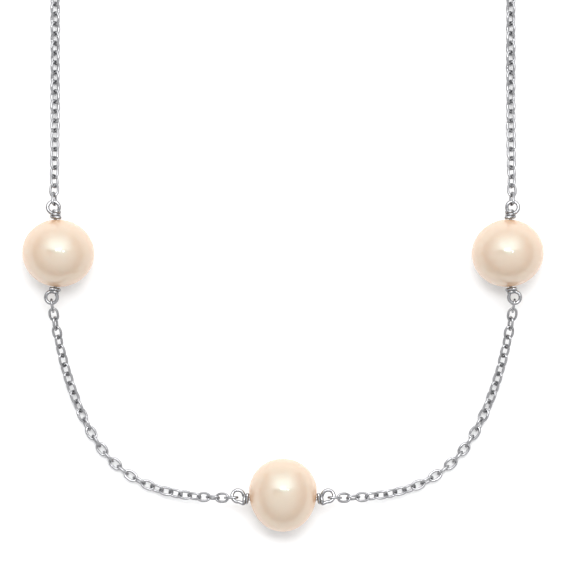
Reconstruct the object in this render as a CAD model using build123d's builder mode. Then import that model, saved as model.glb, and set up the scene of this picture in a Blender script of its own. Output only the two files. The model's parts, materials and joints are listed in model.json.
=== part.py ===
"""Three-pearl station necklace, laid flat on a table with its clasp undone.

Millimetres. The table is the plane z = 0 and +Z is up. +Y runs from the centre pearl to the
clasp, and the origin lies on the table in the middle of the necklace's outline.
"""
from build123d import *
import math
import os

import numpy as np

os.makedirs("parts", exist_ok=True)

# ---------------------------------------------------------------- driving dimensions
# Pearls. The side pearls are a little flat along their drill holes, the centre one is egg-shaped.
SIDE_PEARL_RADIUS = 3.75
SIDE_PEARL_HALF_LENGTH = 3.5
SIDE_PEARL_LEAN = 8.0  # degrees between the flat direction and the drill hole
CENTRE_PEARL_RADIUS = 3.53
CENTRE_PEARL_BLUNT = 3.45  # from its widest place to the end nearest the clasp
CENTRE_PEARL_POINT = 4.15  # from its widest place to the other end
CENTRE_PEARL_WIDEST = 0.35
DRILL_RADIUS = 0.28
SIDE_PEARL_X, SIDE_PEARL_Y = 23.4, 25.2  # from the centre pearl
SIDE_DRILL_X = 23.7
CENTRE_DRILL_Y = -0.4

# Station wires: one wire through each pearl, with a wrapped eye at both ends.
WIRE_RADIUS = 0.20
EYE_RADIUS = 0.60
EYE_THROAT = 3.98  # from the middle of the pearl to where an eye's two strands meet
WRAP_RADIUS = 0.39
WRAP_WIRE = 0.22
WRAP_START = 3.77  # from the middle of the pearl to the first wrap
WRAP_STEP = 0.38


class Eye:
    """One end of a station wire: how far out its round end is, its bend sideways and its wraps.

    pull is the slant, in degrees, at which the chain bears in it.
    """

    def __init__(self, reach, aside, wraps, pull=0.0):
        self.reach, self.aside, self.wraps, self.pull = reach, aside, wraps, pull


TOP_EYE = Eye(4.80, 0.15, 2)
BOTTOM_EYE = Eye(4.60, 0.40, 1)
CENTRE_EYE = Eye(4.62, 0.35, 1, pull=-50.0)

# Cable chain
LINK_WIRE = 0.13
LINK_WIDTH = 0.86  # between the middles of a link's two sides
LINK_PITCH = 1.02
LINK_PLAY = 0.04
LINK_RUN = LINK_PITCH + LINK_PLAY  # inside a link, end to end
LINK_PAST = LINK_PLAY / 2 + LINK_WIRE  # from where a link bears to the middle of its wire's end
LOWER_LINKS = 32
UPPER_LINKS = 142
ON_TABLE = 0.42  # height of a chain lying on the table
EDGE_ON_TABLE = 0.58  # the same where every second link stands on its edge
DROOP = 13.0  # length over which a chain comes down from a pearl's eye
RING_DROOP = 4.0  # and from the ring at its other end
DROOP_COST = 0.45  # how much shorter coming down makes a chain in plan
ROLL_WANDER = 2.5  # degrees by which links lie out of true
ROLL_SETTLE = 9.0  # degrees by which slanting links lie flatter than a right angle to each other
LOWER_ROUTE = [(-9.3, -0.17), (-14.2, 1.0), (-18.4, 4.05), (-21.1, 8.5), (-23.0, 14.2)]

# Ends
RING_RADIUS = 0.90
RING_WIRE = 0.20
RING_GAP = 0.02
CLASP_THICK = 2.0
CLASP_EDGE = 0.30
LUG_THICK = 0.8
LUG_RADIUS = 1.0
LUG_HOLE = 0.5
LUG_CLEAR = 0.15  # cut back round the lug so that the ring can swing
SHANK_AT, SHANK_RADIUS = 3.2, 1.75
JAW_AT, JAW_OUTER, JAW_INNER = 5.6, 2.35, 1.35
GATE_FROM, GATE_TO = -28.0, -140.0  # degrees round the jaw, seen from above
PIVOT = (3.0, -0.95)
RIVET_RADIUS = 0.20
RIVET_HEAD, RIVET_DOME = 0.34, 0.08
LEVER_THICK = 0.8
LEVER_HUB = 0.60
LEVER_BORE = RIVET_RADIUS + 0.02
LEVER_OUTER = [(3.0, -1.55), (5.1, -2.12), (6.70, -0.80)]
LEVER_NOSE = [(6.80, -0.50), (6.62, -0.30)]
LEVER_INNER = [(5.2, -1.25), (3.3, -0.45)]
LEVER_THUMB = [(3.1, -1.4), (2.9, -2.7), (3.5, -2.95), (4.4, -1.8)]
SLOT_THICK = 0.86
SLOT_MIDDLE, SLOT_SIZE = (3.6, -1.5), (3.8, 3.2)
SPRING_POCKET = 0.48
SPRING_RADIUS = 0.34
SPRING_WIRE = 0.055
SPRING_PITCH, SPRING_TURNS = 0.13, 2
SPRING_FLOOR = 0.07
TAB_THICK = 0.6
TAB_REST = 0.05  # how far the tab's end stays off the table
TAB_SMALL_HOLE, TAB_SMALL_END = 0.55, 1.0
TAB_HOLE_RADIUS, TAB_LARGE_END = 1.3, 2.1
TAB_SPACING = 3.6

# ---------------------------------------------------------------- places worked out from them
def ring_bears(thickness):
    """How far from a ring's middle a plate of this thickness bears on the ring's inside."""
    return math.sqrt((RING_RADIUS - RING_WIRE) ** 2 - (thickness / 2) ** 2) - RING_GAP


RING_Z = RING_RADIUS + RING_WIRE + RING_GAP
LEG_X = SIDE_DRILL_X + 0.15
LEG_LENGTH = UPPER_LINKS * LINK_PITCH - DROOP_COST
RING_Y = (
    SIDE_PEARL_Y + TOP_EYE.reach + EYE_RADIUS - WIRE_RADIUS + LEG_LENGTH + RING_RADIUS - RING_WIRE
)
OUTLINE_TOP = RING_Y + ring_bears(LUG_THICK) + LUG_HOLE + JAW_AT + JAW_OUTER
OUTLINE_BOTTOM = CENTRE_PEARL_WIDEST - CENTRE_PEARL_POINT
ORIGIN_Y = (OUTLINE_TOP + OUTLINE_BOTTOM) / 2  # of the outline's middle, from the centre pearl
LEFT, RIGHT = -1, 1
SIDES = {"left": LEFT, "right": RIGHT}
UP = Vector(0, 0, 1)


def at(x, y, z):
    """A point given from the middle of the centre pearl, in the necklace's own frame."""
    return Vector(x, y - ORIGIN_Y, z)


def save(builder, name):
    builder.part.label = name
    export_step(builder.part, f"parts/{name}.step")


# ---------------------------------------------------------------- pearls and their wires
def drilled(name, rough, middle, drill):
    """A pearl: a rough shape about the origin set at middle, with its hole along drill."""
    with BuildPart() as pearl:
        with Locations(middle):
            add(rough.part)
        with BuildSketch(drill):
            Circle(DRILL_RADIUS)
        extrude(amount=2 * SIDE_PEARL_RADIUS, both=True, mode=Mode.SUBTRACT)
    save(pearl, name)


def eye_halves(plane, side, eye):
    """The teardrop that one end of a wire makes, as two paths from its throat to its tip."""
    throat = Vector(side * EYE_THROAT, 0)
    middle = Vector(side * eye.reach, eye.aside)
    away = throat - middle
    spread = math.degrees(math.acos(EYE_RADIUS / away.length))
    tip = middle - away.normalized() * EYE_RADIUS
    halves = []
    for turn in (1, -1):
        edge = middle + away.normalized().rotate(Axis.Z, turn * spread) * EYE_RADIUS
        start, bend, end = (plane.from_local_coords(p) for p in (throat, edge, tip))
        with BuildLine() as half:
            Line(start, bend)
            TangentArc(bend, end, tangent=bend - start)
        halves.append(half.line)
    return halves


def station_wire(name, middle, along, eyes):
    """A wire along a drill hole, with eyes[0] at its near end and eyes[1] at its far end."""
    flat = Plane(middle, x_dir=along, z_dir=UP)
    across = Plane(middle, x_dir=UP, z_dir=along)
    with BuildPart() as wire:
        with BuildSketch(across):
            Circle(WIRE_RADIUS)
        extrude(amount=EYE_THROAT, both=True)
        for side, eye in zip((-1, 1), eyes):
            for half in eye_halves(flat, side, eye):
                with BuildSketch(Plane(half @ 0, z_dir=half % 0)):
                    Circle(WIRE_RADIUS)
                sweep(path=half)
            for n in range(eye.wraps):
                out = side * (WRAP_START + n * WRAP_STEP)
                with BuildSketch(flat):
                    with Locations((out, WRAP_RADIUS)):
                        Circle(WRAP_WIRE)
                revolve(axis=Axis(middle, along))
    save(wire, name)
    return wire


def eye_contact(middle, along, side, eye, aside):
    """Where a link bears inside an eye."""
    inside = EYE_RADIUS - WIRE_RADIUS - LINK_PAST
    pull = math.radians(eye.pull)
    out = eye.reach + inside * math.cos(pull) + LINK_PAST
    return middle + along * side * out + aside * (eye.aside + inside * math.sin(pull))


centre_middle = at(0, CENTRE_PEARL_WIDEST, CENTRE_PEARL_RADIUS)
centre_drill = at(0, CENTRE_DRILL_Y, CENTRE_PEARL_RADIUS)
X_AWAY, Y_AWAY = Vector(1, 0, 0), Vector(0, 1, 0)

with BuildPart() as egg:
    for length, half in ((CENTRE_PEARL_BLUNT, Align.MIN), (CENTRE_PEARL_POINT, Align.MAX)):
        with BuildSketch():
            Ellipse(CENTRE_PEARL_RADIUS, length)
            Rectangle(
                CENTRE_PEARL_RADIUS, length, align=(Align.MIN, half), mode=Mode.INTERSECT
            )
        revolve(axis=Axis.Y)
drilled(
    "centre_pearl", egg, centre_middle, Plane(centre_drill, x_dir=UP, z_dir=X_AWAY)
)
station_wire("centre_wire", centre_drill, X_AWAY, (CENTRE_EYE, CENTRE_EYE))

with BuildPart() as button:
    Sphere(SIDE_PEARL_RADIUS)
    scale(by=(1, SIDE_PEARL_HALF_LENGTH / SIDE_PEARL_RADIUS, 1))

side_drill = {}
for side_name, side in SIDES.items():
    side_drill[side_name] = at(side * SIDE_DRILL_X, SIDE_PEARL_Y, SIDE_PEARL_RADIUS)
    middle = at(side * SIDE_PEARL_X, SIDE_PEARL_Y, SIDE_PEARL_RADIUS)
    drilled(
        f"{side_name}_pearl",
        button,
        Location(middle, (0, 0, side * SIDE_PEARL_LEAN)),
        Plane(side_drill[side_name], x_dir=UP, z_dir=Y_AWAY),
    )

left_wire = station_wire("left_wire", side_drill["left"], Y_AWAY, (BOTTOM_EYE, TOP_EYE))
with BuildPart() as right_wire:
    add(mirror(left_wire.part, about=Plane.YZ))
save(right_wire, "right_wire")

# ---------------------------------------------------------------- chain
with BuildPart() as link:
    with BuildLine() as link_middle:
        straight = LINK_RUN + 2 * LINK_WIRE - LINK_WIDTH
        near, far = -straight / 2, straight / 2
        Line((near, -LINK_WIDTH / 2), (far, -LINK_WIDTH / 2))
        ThreePointArc((far, -LINK_WIDTH / 2), (far + LINK_WIDTH / 2, 0), (far, LINK_WIDTH / 2))
        Line((far, LINK_WIDTH / 2), (near, LINK_WIDTH / 2))
        ThreePointArc((near, LINK_WIDTH / 2), (near - LINK_WIDTH / 2, 0), (near, -LINK_WIDTH / 2))
    with BuildSketch(Plane(link_middle.line @ 0, z_dir=link_middle.line % 0)):
        Circle(LINK_WIRE)
    sweep(path=link_middle.line)


def contacts(route, count, ends, falls, low):
    """Where each link of a chain bears on the next, evenly spaced along a route in plan.

    The chain comes down from each raised end along a parabola and lies at height low between.
    """
    share = np.linspace(0, 1, 1200)
    plan = np.array([tuple(route @ float(u))[:2] for u in share])
    gone = share * route.length
    from_start = np.clip(1 - gone / falls[0], 0, 1) ** 2 * (ends[0] - low)
    from_end = np.clip(1 - (route.length - gone) / falls[1], 0, 1) ** 2 * (ends[1] - low)
    points = np.column_stack([plan, low + from_start + from_end])
    run = np.r_[0, np.cumsum(np.linalg.norm(np.diff(points, axis=0), axis=1))]
    even = np.linspace(0, run[-1], count + 1)
    return [Vector(*(float(np.interp(s, run, c)) for c in points.T)) for s in even]


def link_places(points, twist, side):
    """The place of each link between two contacts. Every second one is turned the other way."""
    places = []
    for n, (start, end) in enumerate(zip(points, points[1:])):
        along = (end - start).normalized()
        level = UP.cross(along).normalized()
        upright, lean = (90, 1) if n % 2 == 0 else (0, -1)
        settle = lean * ROLL_SETTLE * math.sin(2 * math.radians(twist(n)))
        wander = ROLL_WANDER * math.sin(2.4 * n)
        roll = math.radians(upright - side * (twist(n) + settle) + wander)
        wide = level * math.cos(roll) + along.cross(level) * math.sin(roll)
        places.append(Plane((start + end) * 0.5, x_dir=along, z_dir=along.cross(wide)).location)
    return places


def mirrored(points):
    return [Vector(-p.X, p.Y, p.Z) for p in points]


def lower_twist(n):
    """Level and upright links next to the eyes and round the bend, slanting links between."""
    return float(np.interp(n, [0, 5, 7, 12, 15, 21, 26, 31], [0, 45, 45, 0, 0, 45, 45, 90]))


def upper_twist(n):
    return float(np.interp(n, [0, 3, UPPER_LINKS - 5, UPPER_LINKS - 1], [-18, -45, -45, -10]))


lower_start = eye_contact(centre_drill, X_AWAY, LEFT, CENTRE_EYE, Y_AWAY)
lower_end = eye_contact(side_drill["left"], Y_AWAY, LEFT, BOTTOM_EYE, -X_AWAY)
upper_start = eye_contact(side_drill["left"], Y_AWAY, RIGHT, TOP_EYE, -X_AWAY)
with BuildLine() as lower_line:
    Spline(
        (lower_start.X, lower_start.Y),
        *[(x, y - ORIGIN_Y) for x, y in LOWER_ROUTE],
        (lower_end.X, lower_end.Y),
    )
with BuildLine() as upper_line:
    Line((-LEG_X, upper_start.Y), (-LEG_X, upper_start.Y + LEG_LENGTH))

left_lower = contacts(
    lower_line.wire(),
    LOWER_LINKS,
    (CENTRE_PEARL_RADIUS, SIDE_PEARL_RADIUS),
    (DROOP, DROOP),
    EDGE_ON_TABLE,
)
left_upper = contacts(
    upper_line.wire(), UPPER_LINKS, (SIDE_PEARL_RADIUS, RING_Z), (DROOP, RING_DROOP), ON_TABLE
)
CHAINS = {
    "left_lower": (left_lower, lower_twist, LEFT),
    "right_lower": (mirrored(left_lower), lower_twist, RIGHT),
    "left_upper": (left_upper, upper_twist, LEFT),
    "right_upper": (mirrored(left_upper), upper_twist, RIGHT),
}
# Links to a piece, from the eye nearest the centre pearl. The second and third pieces come down
# from the eye in two bends.
EYE_STRETCHES = {"link": 1, "drop_1": 3, "drop_2": 3}
LOWER_STRETCHES = [8, 8, 9]
UPPER_STRETCHES = [10] * 9 + [9] * 5


def stretches(chain):
    """(name, first link, last link + 1) of each piece of one chain, from its first eye."""
    lengths = LOWER_STRETCHES if "lower" in chain else UPPER_STRETCHES
    names = [f"{chain}_{part}" for part in EYE_STRETCHES]
    names += [f"{chain}_chain_{n + 1:02d}" for n in range(len(lengths))]
    ends = np.cumsum([0, *EYE_STRETCHES.values(), *lengths])
    return [(name, int(a), int(b)) for name, a, b in zip(names, ends, ends[1:])]


for chain, (points, twist, side) in CHAINS.items():
    places = link_places(points, twist, side)
    for name, first, last in stretches(chain):
        with BuildPart() as stretch:
            with Locations(*places[first:last]):
                add(link.part)
        save(stretch, name)

# ---------------------------------------------------------------- rings at the chain's ends
clasp_ring_middle = at(-LEG_X, RING_Y, RING_Z)
tab_ring_middle = at(LEG_X, RING_Y, RING_Z)
for name, middle in (("clasp_ring", clasp_ring_middle), ("tab_ring", tab_ring_middle)):
    with BuildPart() as ring:
        with Locations(middle):
            Torus(RING_RADIUS, RING_WIRE, rotation=(0, 90, 0))
    save(ring, name)

# ---------------------------------------------------------------- lobster clasp
lug = clasp_ring_middle + Y_AWAY * (ring_bears(LUG_THICK) + LUG_HOLE)
clasp = Plane(lug, x_dir=Y_AWAY, z_dir=UP)

with BuildPart() as clasp_body:
    with BuildSketch(clasp.offset(-CLASP_THICK / 2)):
        Circle(LUG_RADIUS)
        with Locations((SHANK_AT, 0)):
            Circle(SHANK_RADIUS)
        make_hull()
        with Locations((JAW_AT, 0)):
            Circle(JAW_OUTER)
            Circle(JAW_INNER, mode=Mode.SUBTRACT)
        corners = [
            Vector(JAW_AT, 0) + Vector(2 * JAW_OUTER, 0).rotate(Axis.Z, a)
            for a in (GATE_FROM, (GATE_FROM + GATE_TO) / 2, GATE_TO)
        ]
        Polygon((JAW_AT, 0), *[(c.X, c.Y) for c in corners], align=None, mode=Mode.SUBTRACT)
        Circle(LUG_RADIUS + LUG_CLEAR, mode=Mode.SUBTRACT)
    extrude(amount=CLASP_THICK)
    chamfer(clasp_body.faces().filter_by(Axis.Z).edges(), CLASP_EDGE)
    with BuildSketch(clasp.offset(-LUG_THICK / 2)):
        Circle(LUG_RADIUS)
        with Locations((LUG_RADIUS + LUG_CLEAR, 0)):
            Rectangle(LUG_RADIUS, LUG_RADIUS)
    extrude(amount=LUG_THICK)
    with BuildSketch(clasp.offset(-LUG_THICK / 2)):
        Circle(LUG_HOLE)
    extrude(amount=LUG_THICK, mode=Mode.SUBTRACT)
    with BuildSketch(clasp.offset(-SLOT_THICK / 2)):
        with Locations(SLOT_MIDDLE):
            Rectangle(*SLOT_SIZE)
    extrude(amount=SLOT_THICK, mode=Mode.SUBTRACT)
    with BuildSketch(clasp.offset(-CLASP_THICK / 2)):
        with Locations(PIVOT):
            Circle(RIVET_RADIUS)
    extrude(amount=CLASP_THICK, mode=Mode.SUBTRACT)
save(clasp_body, "clasp_body")

with BuildPart() as clasp_lever:
    with BuildSketch(clasp.offset(-LEVER_THICK / 2)):
        with BuildLine():
            ThreePointArc(*LEVER_OUTER)
            Polyline(LEVER_OUTER[-1], *LEVER_NOSE)
            ThreePointArc(LEVER_NOSE[-1], *LEVER_INNER)
            Line(LEVER_INNER[-1], LEVER_OUTER[0])
        make_face()
        with Locations(PIVOT):
            Circle(LEVER_HUB)
        Polygon(*LEVER_THUMB, align=None)
    extrude(amount=LEVER_THICK)
    with BuildSketch(clasp.offset(-LEVER_THICK / 2)):
        with Locations(PIVOT):
            Circle(LEVER_BORE)
    extrude(amount=LEVER_THICK, mode=Mode.SUBTRACT)
    with BuildSketch(clasp):
        with Locations(PIVOT):
            Circle(SPRING_POCKET)
    extrude(amount=LEVER_THICK / 2, mode=Mode.SUBTRACT)
save(clasp_lever, "clasp_lever")

with BuildPart() as clasp_rivet:
    with BuildSketch(clasp.offset(-CLASP_THICK / 2)):
        with Locations(PIVOT):
            Circle(RIVET_RADIUS)
    extrude(amount=CLASP_THICK)
    for up in (1, -1):
        with BuildSketch(clasp.offset(up * CLASP_THICK / 2)):
            with Locations(PIVOT):
                Circle(RIVET_HEAD)
        extrude(amount=up * RIVET_DOME, taper=30)
save(clasp_rivet, "clasp_rivet")

pivot_middle = clasp.from_local_coords(Vector(*PIVOT, 0))
with BuildPart() as clasp_spring:
    with BuildLine() as coil:
        Helix(
            SPRING_PITCH,
            SPRING_PITCH * SPRING_TURNS,
            SPRING_RADIUS,
            center=pivot_middle + UP * SPRING_FLOOR,
        )
    with BuildSketch(Plane(coil.line @ 0, z_dir=coil.line % 0)):
        Circle(SPRING_WIRE)
    sweep(path=coil.line, is_frenet=True)
save(clasp_spring, "clasp_spring")

# ---------------------------------------------------------------- end tab that the clasp hooks into
tab_hole = tab_ring_middle + Y_AWAY * (ring_bears(TAB_THICK) + TAB_SMALL_HOLE)
tab_drop = math.asin((RING_Z - TAB_THICK / 2 - TAB_REST) / (TAB_SPACING + TAB_LARGE_END))
tab_along = Vector(0, math.cos(tab_drop), -math.sin(tab_drop))
tab = Plane(tab_hole, x_dir=tab_along, z_dir=Vector(0, math.sin(tab_drop), math.cos(tab_drop)))

with BuildPart() as end_tab:
    with BuildSketch(tab.offset(-TAB_THICK / 2)):
        Circle(TAB_SMALL_END)
        with Locations((TAB_SPACING, 0)):
            Circle(TAB_LARGE_END)
        make_hull()
        Circle(TAB_SMALL_HOLE, mode=Mode.SUBTRACT)
        with Locations((TAB_SPACING, 0)):
            Circle(TAB_HOLE_RADIUS, mode=Mode.SUBTRACT)
    extrude(amount=TAB_THICK)
save(end_tab, "end_tab")
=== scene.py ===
"""Looks of the three-pearl station necklace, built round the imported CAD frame. Metres throughout."""
import json
import math
import random

import bpy
import numpy as np
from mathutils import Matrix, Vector, noise


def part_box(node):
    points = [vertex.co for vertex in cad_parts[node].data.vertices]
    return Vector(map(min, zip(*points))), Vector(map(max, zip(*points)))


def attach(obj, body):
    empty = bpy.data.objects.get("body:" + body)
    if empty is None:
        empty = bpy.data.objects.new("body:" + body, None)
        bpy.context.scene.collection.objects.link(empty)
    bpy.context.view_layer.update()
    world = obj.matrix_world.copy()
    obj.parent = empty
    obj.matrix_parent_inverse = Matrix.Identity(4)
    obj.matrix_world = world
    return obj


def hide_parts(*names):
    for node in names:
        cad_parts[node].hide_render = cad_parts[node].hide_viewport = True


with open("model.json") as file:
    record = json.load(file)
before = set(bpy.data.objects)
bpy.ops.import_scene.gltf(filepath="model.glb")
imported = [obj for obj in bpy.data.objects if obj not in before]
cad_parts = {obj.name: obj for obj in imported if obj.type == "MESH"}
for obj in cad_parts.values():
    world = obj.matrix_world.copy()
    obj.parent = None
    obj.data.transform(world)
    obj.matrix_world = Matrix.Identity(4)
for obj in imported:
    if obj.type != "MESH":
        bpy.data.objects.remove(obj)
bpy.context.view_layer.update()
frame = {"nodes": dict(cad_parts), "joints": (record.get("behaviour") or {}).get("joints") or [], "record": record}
NODES, RECORD = frame["nodes"], frame["record"]
BODY_OF = {n: body for body, members in RECORD["behaviour"]["bodies"].items() for n in members}
JOINTS = {j["name"]: j for j in frame["joints"]}
MM = 0.001
UP = np.array((0.0, 0.0, 1.0))
SAME_POINT = 0.0002 * MM


# ---------------------------------------------------------------- node trees
class Tree:
    """A short way to write the nodes of a material or a world."""

    def __init__(self, owner, shader="Principled BSDF", place="Object"):
        owner.use_nodes = True
        self.owner = owner
        self.nodes = owner.node_tree.nodes
        self.links = owner.node_tree.links
        self.shader = self.nodes[shader]
        self.place = self.add("ShaderNodeTexCoord").outputs[place]

    def add(self, kind, **values):
        node = self.nodes.new(kind)
        for key, value in values.items():
            setattr(node, key, value)
        return node

    def feed(self, socket, value):
        if hasattr(value, "is_output"):
            self.links.new(value, socket)
        else:
            socket.default_value = value

    def set(self, **values):
        for key, value in values.items():
            self.feed(self.shader.inputs[key.replace("_", " ")], value)

    def noise(self, scale, detail=2.0, rough=0.5, place=None, distortion=0.0):
        node = self.add("ShaderNodeTexNoise")
        self.feed(node.inputs["Vector"], place or self.place)
        node.inputs["Scale"].default_value = scale
        node.inputs["Detail"].default_value = detail
        node.inputs["Roughness"].default_value = rough
        node.inputs["Distortion"].default_value = distortion
        return node.outputs["Fac"]

    def span(self, value, low, high, to_low, to_high):
        node = self.add("ShaderNodeMapRange", clamp=True)
        numbers = {"From Min": low, "From Max": high, "To Min": to_low, "To Max": to_high}
        for key, number in {"Value": value, **numbers}.items():
            self.feed(node.inputs[key], number)
        return node.outputs["Result"]

    def math(self, operation, a, b=0.0):
        node = self.add("ShaderNodeMath", operation=operation)
        self.feed(node.inputs[0], a)
        self.feed(node.inputs[1], b)
        return node.outputs["Value"]

    def mix(self, share, a, b):
        node = self.add("ShaderNodeMix", data_type="RGBA")
        for key, v in (("Factor_Float", share), ("A_Color", a), ("B_Color", b)):
            self.feed(next(s for s in node.inputs if s.identifier == key), v)
        return next(s for s in node.outputs if s.identifier == "Result_Color")

    def mapped(self, place, scale=(1, 1, 1), location=(0, 0, 0)):
        node = self.add("ShaderNodeMapping")
        self.feed(node.inputs["Vector"], place)
        node.inputs["Scale"].default_value = scale
        node.inputs["Location"].default_value = location
        return node.outputs["Vector"]

    def bump(self, height, distance, strength=1.0):
        node = self.add("ShaderNodeBump")
        self.feed(node.inputs["Height"], height)
        node.inputs["Distance"].default_value = distance
        node.inputs["Strength"].default_value = strength
        return node.outputs["Normal"]


def colour(*rgb):
    return (*rgb, 1.0)


def new_material(name):
    return Tree(bpy.data.materials.new(name))


def nacre(name, hole, axis, seed):
    """Peach nacre: cream clouds, yellower at the drill hole, a soft satin and a clear skin."""
    t = new_material(name)
    per_mm = 1 / MM
    shifted = t.mapped(t.place, location=tuple(seed * s * MM for s in (7.0, -11.0, 5.0)))
    clouds = t.noise(0.22 * per_mm, 3.0, 0.55, shifted, 0.4)
    mottle = t.noise(1.3 * per_mm, 4.0, 0.6, shifted)
    fine = t.noise(9.0 * per_mm, 3.0, 0.6, shifted)
    body = t.mix(
        t.span(clouds, 0.30, 0.70, 0.0, 1.0), colour(0.58, 0.47, 0.39), colour(0.585, 0.505, 0.43)
    )
    body = t.mix(t.span(mottle, 0.35, 0.75, 0.0, 0.35), body, colour(0.60, 0.52, 0.45))
    # a deeper, yellower tone where the nacre thins at the drill holes
    offset = t.add("ShaderNodeVectorMath", operation="SUBTRACT")
    t.feed(offset.inputs[0], t.place)
    offset.inputs[1].default_value = hole
    cross = t.add("ShaderNodeVectorMath", operation="CROSS_PRODUCT")
    t.feed(cross.inputs[0], offset.outputs["Vector"])
    cross.inputs[1].default_value = axis
    length = t.add("ShaderNodeVectorMath", operation="LENGTH")
    t.feed(length.inputs[0], cross.outputs["Vector"])
    from_hole = t.math("ADD", length.outputs["Value"], t.math("MULTIPLY", mottle, 0.9 * MM))
    body = t.mix(
        t.span(from_hole, 0.5 * MM, 2.5 * MM, 0.9, 0.0), body, colour(0.55, 0.35, 0.15)
    )
    t.set(
        Base_Color=body,
        Roughness=t.span(mottle, 0.3, 0.7, 0.30, 0.38),
        Normal=t.bump(fine, 0.004 * MM, 0.5),
        IOR=1.60,
        Specular_IOR_Level=1.0,
        Specular_Tint=colour(0.25, 0.92, 1.0),
        Subsurface_Weight=0.22,
        Subsurface_Radius=(1.0, 0.55, 0.35),
        Subsurface_Scale=0.9 * MM,
        Coat_Weight=1.0,
        Coat_Roughness=0.045,
        Coat_IOR=1.66,
        Coat_Tint=colour(1.0, 0.93, 0.86),
        Sheen_Weight=0.42,
        Sheen_Roughness=0.8,
        Sheen_Tint=colour(1.0, 0.48, 0.22),
    )
    return t.owner


EDGE_TINT = colour(0.30, 0.30, 0.31)


def silver(name, tint, rough, scratch):
    """Rhodium-plated silver: polished, with a faint cloudiness and fine wear marks."""
    t = new_material(name)
    per_mm = 1 / MM
    wear = t.noise(2.2 * per_mm, 4.0, 0.65)
    marks = t.noise(14.0 * per_mm, 3.0, 0.7, t.mapped(t.place, scale=(1.0, 0.25, 1.0)))
    worn = colour(*(c * 0.90 for c in tint))
    tone = t.mix(t.span(wear, 0.35, 0.65, 0.0, 1.0), colour(*tint), worn)
    t.set(
        Base_Color=tone,
        Metallic=1.0,
        Roughness=t.span(wear, 0.3, 0.7, rough, rough + 0.12),
        Specular_Tint=EDGE_TINT,
        Normal=t.bump(marks, scratch * MM, 0.6),
    )
    return t.owner


CHAIN_SILVER = silver("chain_silver", (0.43, 0.43, 0.44), 0.12, 0.004)
WIRE_SILVER = silver("wire_silver", (0.39, 0.39, 0.40), 0.12, 0.004)
CLASP_SILVER = silver("clasp_silver", (0.56, 0.56, 0.57), 0.18, 0.006)
SPRING_STEEL = silver("spring_steel", (0.42, 0.42, 0.43), 0.30, 0.004)


# ---------------------------------------------------------------- meshes
def piece(name, points, faces, material, node):
    """A smooth mesh that stands for one CAD node and moves with its body."""
    mesh = bpy.data.meshes.new(name)
    mesh.from_pydata([tuple(p) for p in points], [], faces)
    mesh.polygons.foreach_set("use_smooth", [True] * len(mesh.polygons))
    mesh.materials.append(material)
    mesh.update()
    obj = bpy.data.objects.new(name, mesh)
    bpy.context.scene.collection.objects.link(obj)
    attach(obj, BODY_OF[node])
    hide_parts(node)
    return obj


def unit(v):
    return v / np.linalg.norm(v)


def turned_frames(path, closed, first):
    """A direction across the path at each of its points, carried along without twisting."""
    count = len(path)
    if closed:
        tangents = np.roll(path, -1, axis=0) - np.roll(path, 1, axis=0)
    else:
        tangents = np.gradient(path, axis=0)
    tangents /= np.linalg.norm(tangents, axis=1)[:, None]
    across = [unit(first - tangents[0] * np.dot(first, tangents[0]))]
    for n in range(1, count):
        carried = across[-1] - tangents[n] * np.dot(across[-1], tangents[n])
        across.append(unit(carried))
    return np.array(across), tangents


def tube(path, radii, sides, closed, first):
    """Points and faces of a round wire along path, its open ends cut and slightly rounded."""
    path = np.asarray(path, float)
    radii = np.broadcast_to(radii, len(path)).astype(float)
    across, tangents = turned_frames(path, closed, first)
    if not closed:
        rim = radii[0] * 0.35
        path = np.vstack([path[:1] - tangents[:1] * rim, path, path[-1:] + tangents[-1:] * rim])
        across = np.vstack([across[:1], across, across[-1:]])
        tangents = np.vstack([tangents[:1], tangents, tangents[-1:]])
        radii = np.r_[radii[0] * 0.72, radii, radii[-1] * 0.72]
    other = np.cross(tangents, across)
    angles = np.arange(sides) / sides * math.tau
    cosines, sines = np.cos(angles)[None, :, None], np.sin(angles)[None, :, None]
    ring = across[:, None] * cosines + other[:, None] * sines
    points = (path[:, None] + ring * radii[:, None, None]).reshape(-1, 3)
    rows = len(path)
    faces = []
    for n in range(rows if closed else rows - 1):
        for k in range(sides):
            a, b = n * sides, (n + 1) % rows * sides
            faces.append((a + k, a + (k + 1) % sides, b + (k + 1) % sides, b + k))
    if not closed:
        faces.append(tuple(reversed(range(sides))))
        faces.append(tuple((rows - 1) * sides + k for k in range(sides)))
    return points, faces


def evenly(path, step):
    """The same path with points a step apart, its corners eased."""
    path = np.asarray(path, float)
    run = np.r_[0, np.cumsum(np.linalg.norm(np.diff(path, axis=0), axis=1))]
    at = np.linspace(0, run[-1], max(8, int(run[-1] / step)))
    path = np.column_stack([np.interp(at, run, path[:, i]) for i in range(3)])
    for _ in range(4):
        inner = (path[:-2] + 2 * path[1:-1] + path[2:]) / 4
        path = np.vstack([path[:1], inner, path[-1:]])
    return path


def islands(node):
    """The vertices of each separate solid of a CAD node, as arrays."""
    mesh = NODES[node].data
    co = np.empty(len(mesh.vertices) * 3, np.float32)
    mesh.vertices.foreach_get("co", co)
    co = co.reshape(-1, 3).astype(float)
    edges = np.empty(len(mesh.edges) * 2, np.int64)
    mesh.edges.foreach_get("vertices", edges)
    pairs = [edges.reshape(-1, 2)]
    for shift in (0.0, 0.5):  # points that coincide share a cell of one grid or the other
        cells = np.floor(co / SAME_POINT + shift).astype(np.int64)
        _, first, same = np.unique(cells, axis=0, return_index=True, return_inverse=True)
        pairs.append(np.column_stack([np.arange(len(co)), first[same.reshape(-1)]]))
    a, b = np.vstack(pairs).T
    label = np.arange(len(co))
    while True:
        low = np.minimum(label[a], label[b])
        before = label.copy()
        np.minimum.at(label, a, low)
        np.minimum.at(label, b, low)
        label = label[label]
        if (label == before).all():
            break
    return [co[label == k] for k in np.unique(label)]


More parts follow.
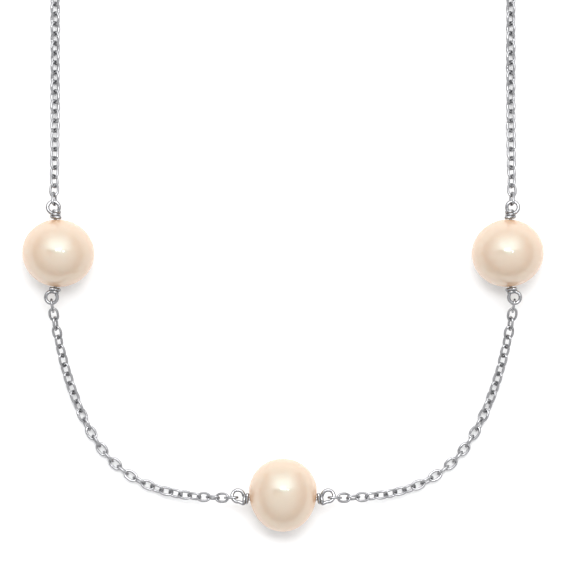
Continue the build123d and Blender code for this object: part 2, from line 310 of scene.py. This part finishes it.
def axes_of(cloud):
    """Middle, directions and sizes of a link's cloud of points, its long direction first."""
    middle = cloud.mean(0)
    _, _, directions = np.linalg.svd(cloud - middle, full_matrices=False)
    reach = (cloud - middle) @ directions.T
    middle = middle + ((reach.max(0) + reach.min(0)) / 2) @ directions
    return middle, directions, reach.max(0) - reach.min(0)


# ---------------------------------------------------------------- chain
LINK_STEPS, LINK_SIDES = 44, 12
LINK_SQUARENESS = 2.35  # 2 would be an ellipse
SOLDER_SWELL = 0.10
pick = random.Random(31)

for node in sorted(n for n in NODES if "_lower_" in n or "_upper_" in n):
    points, faces = [], []
    links = islands(node)
    for cloud in links:
        middle, (along, wide, normal), (length, width, wire) = axes_of(cloud)
        radius = wire / 2
        a, b = length / 2 - radius, width / 2 - radius
        turn = np.arange(LINK_STEPS) / LINK_STEPS * math.tau
        power = 2 / LINK_SQUARENESS
        x = a * np.sign(np.cos(turn)) * np.abs(np.cos(turn)) ** power
        y = b * np.sign(np.sin(turn)) * np.abs(np.sin(turn)) ** power
        path = middle + x[:, None] * along + y[:, None] * wide
        seam = (0.25 + 0.5 * pick.randrange(2)) * math.tau + pick.uniform(-0.2, 0.2)
        swell = 1 + SOLDER_SWELL * np.exp(-(((turn - seam) / 0.16) ** 2))
        p, f = tube(path, radius * swell, LINK_SIDES, True, normal)
        faces += [tuple(len(points) + k for k in face) for face in f]
        points += list(p)
    piece(f"{node}_fine", points, faces, CHAIN_SILVER, node)


# ---------------------------------------------------------------- pearls
PEARL_ROWS, PEARL_STEPS = 150, 200
HOLE_RADIUS = 0.28 * MM
WALL_ROWS = 9
WALL_END = 0.985  # of the way out to the skin
HOLE_EASE = 0.96  # the wall against the edge of the hole
SKIN_BROAD, SKIN_SMALL = 0.0045, 0.0008
EGG_BLUNT = 3.45 / 7.6  # of the centre pearl's length
BUTTON_FLAT = 3.5 / 3.75  # a side pearl's length against its width
SIDE_LEAN = 8.0  # degrees


def pearl(node, joint, shape, lean, material_seed):
    """A pearl as rings about its drill hole, where rays from the drill's middle leave the shape."""
    spin = JOINTS[joint]
    centre_of_hole, axis = np.array(spin["pos_m"]), np.array(spin["axis"])
    low, high = (np.array(v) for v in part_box(node))
    up, side = UP, np.cross(UP, axis)
    widest, radii = shape(low, high)
    c, s = math.cos(math.radians(lean)), math.sin(math.radians(lean))
    tilt = np.array(((c, -s, 0), (s, c, 0), (0, 0, 1)))  # pearl's own axes to the frame's

    def leave(d):
        """How far along d from the drill's middle the surface is."""
        start, way = tilt.T @ (centre_of_hole - widest), tilt.T @ d
        reach = 0.0
        for _ in range(3):
            half = np.where((start + way * reach) >= 0, radii[1], radii[0])
            p, w = start / half, way / half
            k0, k1, k2 = w @ w, p @ w, p @ p - 1
            reach = (-k1 + math.sqrt(k1 * k1 - k0 * k2)) / k0
        return reach

    def skin(d):
        seed = Vector((material_seed * 3.1, 0.0, 0.0))
        broad = noise.noise(Vector(d) * 1.3 + seed)
        small = noise.noise(Vector(d) * 5.0 + seed)
        return leave(d) * (1 + SKIN_BROAD * broad + SKIN_SMALL * small)

    ends = [math.asin(HOLE_RADIUS / leave(axis)), math.pi - math.asin(HOLE_RADIUS / leave(-axis))]
    polar = np.linspace(ends[0], ends[1], PEARL_ROWS)
    rows = []
    for theta in polar:
        row = []
        for k in range(PEARL_STEPS):
            phi = k / PEARL_STEPS * math.tau
            d = axis * math.cos(theta) + (side * math.cos(phi) + up * math.sin(phi)) * math.sin(theta)
            row.append(centre_of_hole + d * skin(d))
        rows.append(row)
    # the edge of the hole is broken a little, and its wall goes right through
    wall = []
    for x in np.linspace(WALL_END, -WALL_END, WALL_ROWS):
        reach = leave(axis) if x > 0 else leave(-axis)
        wall.append(
            [
                centre_of_hole + axis * reach * x
                + (side * math.cos(k / PEARL_STEPS * math.tau) + up * math.sin(k / PEARL_STEPS * math.tau))
                * HOLE_RADIUS * HOLE_EASE
                for k in range(PEARL_STEPS)
            ]
        )
    rows += wall[::-1]
    points = [p for row in rows for p in row]
    faces = []
    count = len(rows)
    for n in range(count):
        for k in range(PEARL_STEPS):
            a, b, j = n * PEARL_STEPS, (n + 1) % count * PEARL_STEPS, (k + 1) % PEARL_STEPS
            faces.append((a + k, b + k, b + j, a + j))
    material = nacre(f"nacre_{node}", tuple(centre_of_hole), tuple(axis), material_seed)
    return piece(f"{node}_nacre", points, faces, material, node)


def egg(low, high):
    """The centre pearl: round about Y, blunter towards the clasp."""
    radius = (high[0] - low[0]) / 2
    length = high[1] - low[1]
    blunt = length * EGG_BLUNT
    widest = np.array(((low[0] + high[0]) / 2, high[1] - blunt, (low[2] + high[2]) / 2))
    return widest, (np.array((radius, length - blunt, radius)), np.array((radius, blunt, radius)))


def button(low, high):
    """A side pearl: a little flat along its drill hole."""
    radius = (high[2] - low[2]) / 2
    half = np.array((radius, radius * BUTTON_FLAT, radius))
    return (low + high) / 2, (half, half)


pearl("centre_pearl", "pearl_spin_centre", egg, 0.0, 1)
pearl("left_pearl", "pearl_spin_left", button, -SIDE_LEAN, 2)
pearl("right_pearl", "pearl_spin_right", button, SIDE_LEAN, 3)


# ---------------------------------------------------------------- station wires
WIRE = 0.185 * MM
EYE = 0.61 * MM
WRAP_AT, WRAP_PITCH, WRAP_RADIUS = 3.70 * MM, 0.30 * MM, 0.375 * MM
TAIL_LIFT = 0.28 * MM


def half_wire(reach, aside, throat_aside, turns, winding):
    """Out from the middle of the pearl, round the eye and back over itself, wound down to its cut end.

    Columns are out along the hole, aside and up. winding is the side, 1 or -1, on which it comes back.
    """
    throat = WRAP_AT + WRAP_PITCH * turns
    middle = np.array((reach, aside)) * MM
    away = np.array((throat, throat_aside * MM)) - middle
    spread = math.acos(min(0.93, EYE / np.linalg.norm(away)))
    base = math.atan2(away[1], away[0])
    path = [(x, 0, 0) for x in np.linspace(0, WRAP_AT, 24)]
    start = 0.30 * math.pi
    for share in np.linspace(0, 1, 48):
        angle = base + winding * (spread + share * (math.tau - 2 * spread))
        out = middle + EYE * np.array((math.cos(angle), math.sin(angle)))
        rise = max(0.0, share * 2 - 1) * WRAP_RADIUS * math.cos(start)
        path.append((out[0], out[1], rise))
    for share in np.linspace(0, 1, int(40 * turns)):
        angle = start - share * turns * math.tau
        radius = WRAP_RADIUS + TAIL_LIFT * max(0.0, share - 0.9) / 0.1
        side = throat_aside * MM * max(0.0, 1 - 3 * share)
        path.append(
            (
                throat - (throat - WRAP_AT) * share,
                side + radius * math.sin(angle) * winding,
                radius * math.cos(angle),
            )
        )
    return path


def station(node, joint, near, far, aside):
    """A whole station wire along its pearl's drill hole, with its two eyes as half_wire takes them."""
    spin = JOINTS[joint]
    middle, along = np.array(spin["pos_m"]), np.array(spin["axis"], float)
    halves = []
    for way, eye in ((-1, near), (1, far)):
        local = np.array(half_wire(*eye))
        halves.append(middle + local[:, :1] * along * way + local[:, 1:2] * aside + local[:, 2:] * UP)
    path = evenly(np.vstack([halves[0][::-1], halves[1][1:]]), 0.045 * MM)
    points, faces = tube(path, WIRE, 14, False, UP)
    return piece(f"{node}_wound", points, faces, WIRE_SILVER, node)


X, Y = np.array((1.0, 0, 0)), np.array((0, 1.0, 0))
CENTRE_EYE = (4.70, 0.33, -0.20, 1.3, -1)
BOTTOM_EYE = (4.60, 0.40, 0.07, 1.3, -1)
TOP_EYE = (4.78, 0.20, -0.10, 2.3, 1)
station("centre_wire", "pearl_spin_centre", CENTRE_EYE, CENTRE_EYE, Y)
station("left_wire", "pearl_spin_left", BOTTOM_EYE, TOP_EYE, -X)
station("right_wire", "pearl_spin_right", BOTTOM_EYE, TOP_EYE, X)


# ---------------------------------------------------------------- rings, clasp and tab
for node in ("clasp_ring", "tab_ring"):
    low, high = (np.array(v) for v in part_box(node))
    middle, radius, wire = (low + high) / 2, (high[1] - low[1]) / 2, (high[0] - low[0]) / 2
    turn = np.linspace(0.02, math.tau - 0.02, 60) + 0.6
    circle = Y * np.cos(turn)[:, None] + UP * np.sin(turn)[:, None]
    points, faces = tube(middle + circle * (radius - wire), wire, 16, False, X)
    piece(f"{node}_cut", points, faces, WIRE_SILVER, node)

for node in ("clasp_body", "clasp_lever", "clasp_rivet", "end_tab", "clasp_spring"):
    obj = NODES[node]
    obj.data.materials.clear()
    obj.data.materials.append(SPRING_STEEL if node == "clasp_spring" else CLASP_SILVER)
    bevel = obj.modifiers.new("soft_edges", "BEVEL")
    weld = obj.modifiers.new("weld", "WELD")
    weld.merge_threshold = 0.001 * MM
    obj.modifiers.move(1, 0)
    bevel.width, bevel.segments, bevel.limit_method = 0.07 * MM, 2, "ANGLE"
    bevel.angle_limit = math.radians(25)

# ---------------------------------------------------------------- stage
centre_low, centre_high = (np.array(v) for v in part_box("centre_pearl"))
AIM_BACK, AIM_HEIGHT = 22.1 * MM, 3.0 * MM  # from the centre pearl
AIM = Vector((0.0, (centre_low[1] + centre_high[1]) / 2 + AIM_BACK, AIM_HEIGHT))
VIEW_WIDTH = 59.0 * MM

floor_mesh = bpy.data.meshes.new("table")
TABLE_HALF = 3.0
corners = [(x * TABLE_HALF, y * TABLE_HALF, 0) for x, y in ((-1, -1), (1, -1), (1, 1), (-1, 1))]
floor_mesh.from_pydata(corners, [], [(0, 1, 2, 3)])
floor = bpy.data.objects.new("table", floor_mesh)
bpy.context.scene.collection.objects.link(floor)
paper = new_material("pale_paper")
paper.set(
    Base_Color=paper.mix(
        paper.noise(120.0, 3.0), colour(0.93, 0.93, 0.93), colour(0.945, 0.945, 0.945)
    ),
    Roughness=0.9,
    Specular_IOR_Level=0.1,
)
floor_mesh.materials.append(paper.owner)


def lamp(name, place, aim, size, power):
    data = bpy.data.lights.new(name, "AREA")
    data.shape, data.size, data.size_y = "RECTANGLE", *size
    data.energy = power
    obj = bpy.data.objects.new(name, data)
    obj.location = place
    obj.rotation_euler = (Vector(aim) - Vector(place)).to_track_quat("-Z", "Y").to_euler()
    bpy.context.scene.collection.objects.link(obj)


lamp("spark", (0.14, 0.0, 0.50), AIM, (0.045, 0.045), 0.12)
lamp("key", AIM + Vector((0.0, 0.11, 0.50)), AIM, (0.16, 0.09), 0.5)


GLOW, GLOW_BACK = 2.4, 0.5
TENT_LOW, TENT_HIGH = 0.40, 1.05
TENT_TINT = colour(0.985, 0.99, 1.0)
PATCH_ASIDE, PATCH_BACK = -0.28, 0.06  # the middle of the dark patch, as a direction


def studio():
    """A white tent, dimmer low down, with a wide glow from overhead back to the clasp end."""
    tent = Tree(bpy.data.worlds.new("studio"), shader="Background", place="Generated")
    apart = tent.add("ShaderNodeSeparateXYZ")
    tent.feed(apart.inputs[0], tent.place)
    across, back, height = (apart.outputs[axis] for axis in "XYZ")
    aside = tent.math("ABSOLUTE", across)
    glow = tent.math(
        "MULTIPLY",
        tent.span(back, 0.16, 0.28, 0.0, 1.0),
        tent.span(back, 0.5, 1.0, GLOW, GLOW_BACK),
    )
    glow = tent.math("MULTIPLY", glow, tent.span(aside, 0.30, 0.75, 1.0, 0.0))
    glow = tent.math("MULTIPLY", glow, tent.span(height, 0.0, 0.1, 0.0, 1.0))
    cloth = tent.span(height, 0.30, 0.75, TENT_LOW, TENT_HIGH)
    # a dark patch nearly overhead dims the pearls' highlight on its left
    patch_side = tent.math("ABSOLUTE", tent.math("SUBTRACT", across, PATCH_ASIDE))
    patch_back = tent.math("ABSOLUTE", tent.math("SUBTRACT", back, PATCH_BACK))
    dark = tent.math(
        "MULTIPLY",
        tent.span(patch_side, 0.27, 0.31, 1.0, 0.0),
        tent.span(patch_back, 0.11, 0.14, 1.0, 0.0),
    )
    light = tent.math("ADD", cloth, glow)
    light = tent.math("MULTIPLY", light, tent.math("SUBTRACT", 1.0, dark))
    tent.feed(tent.shader.inputs["Strength"], light)
    tent.shader.inputs["Color"].default_value = TENT_TINT
    bpy.context.scene.world = tent.owner


studio()
bpy.context.scene.view_settings.view_transform = "Standard"

CAMERA_HEIGHT = 0.60
camera_data = bpy.data.cameras.new("camera")
camera_data.sensor_width = 36.0
camera_data.lens = 36.0 * CAMERA_HEIGHT / VIEW_WIDTH
camera_data.clip_start, camera_data.clip_end = 0.01, 20.0
camera = bpy.data.objects.new("camera", camera_data)
camera.location = AIM + Vector((0, 0, CAMERA_HEIGHT))
bpy.context.scene.collection.objects.link(camera)
bpy.context.scene.camera = camera
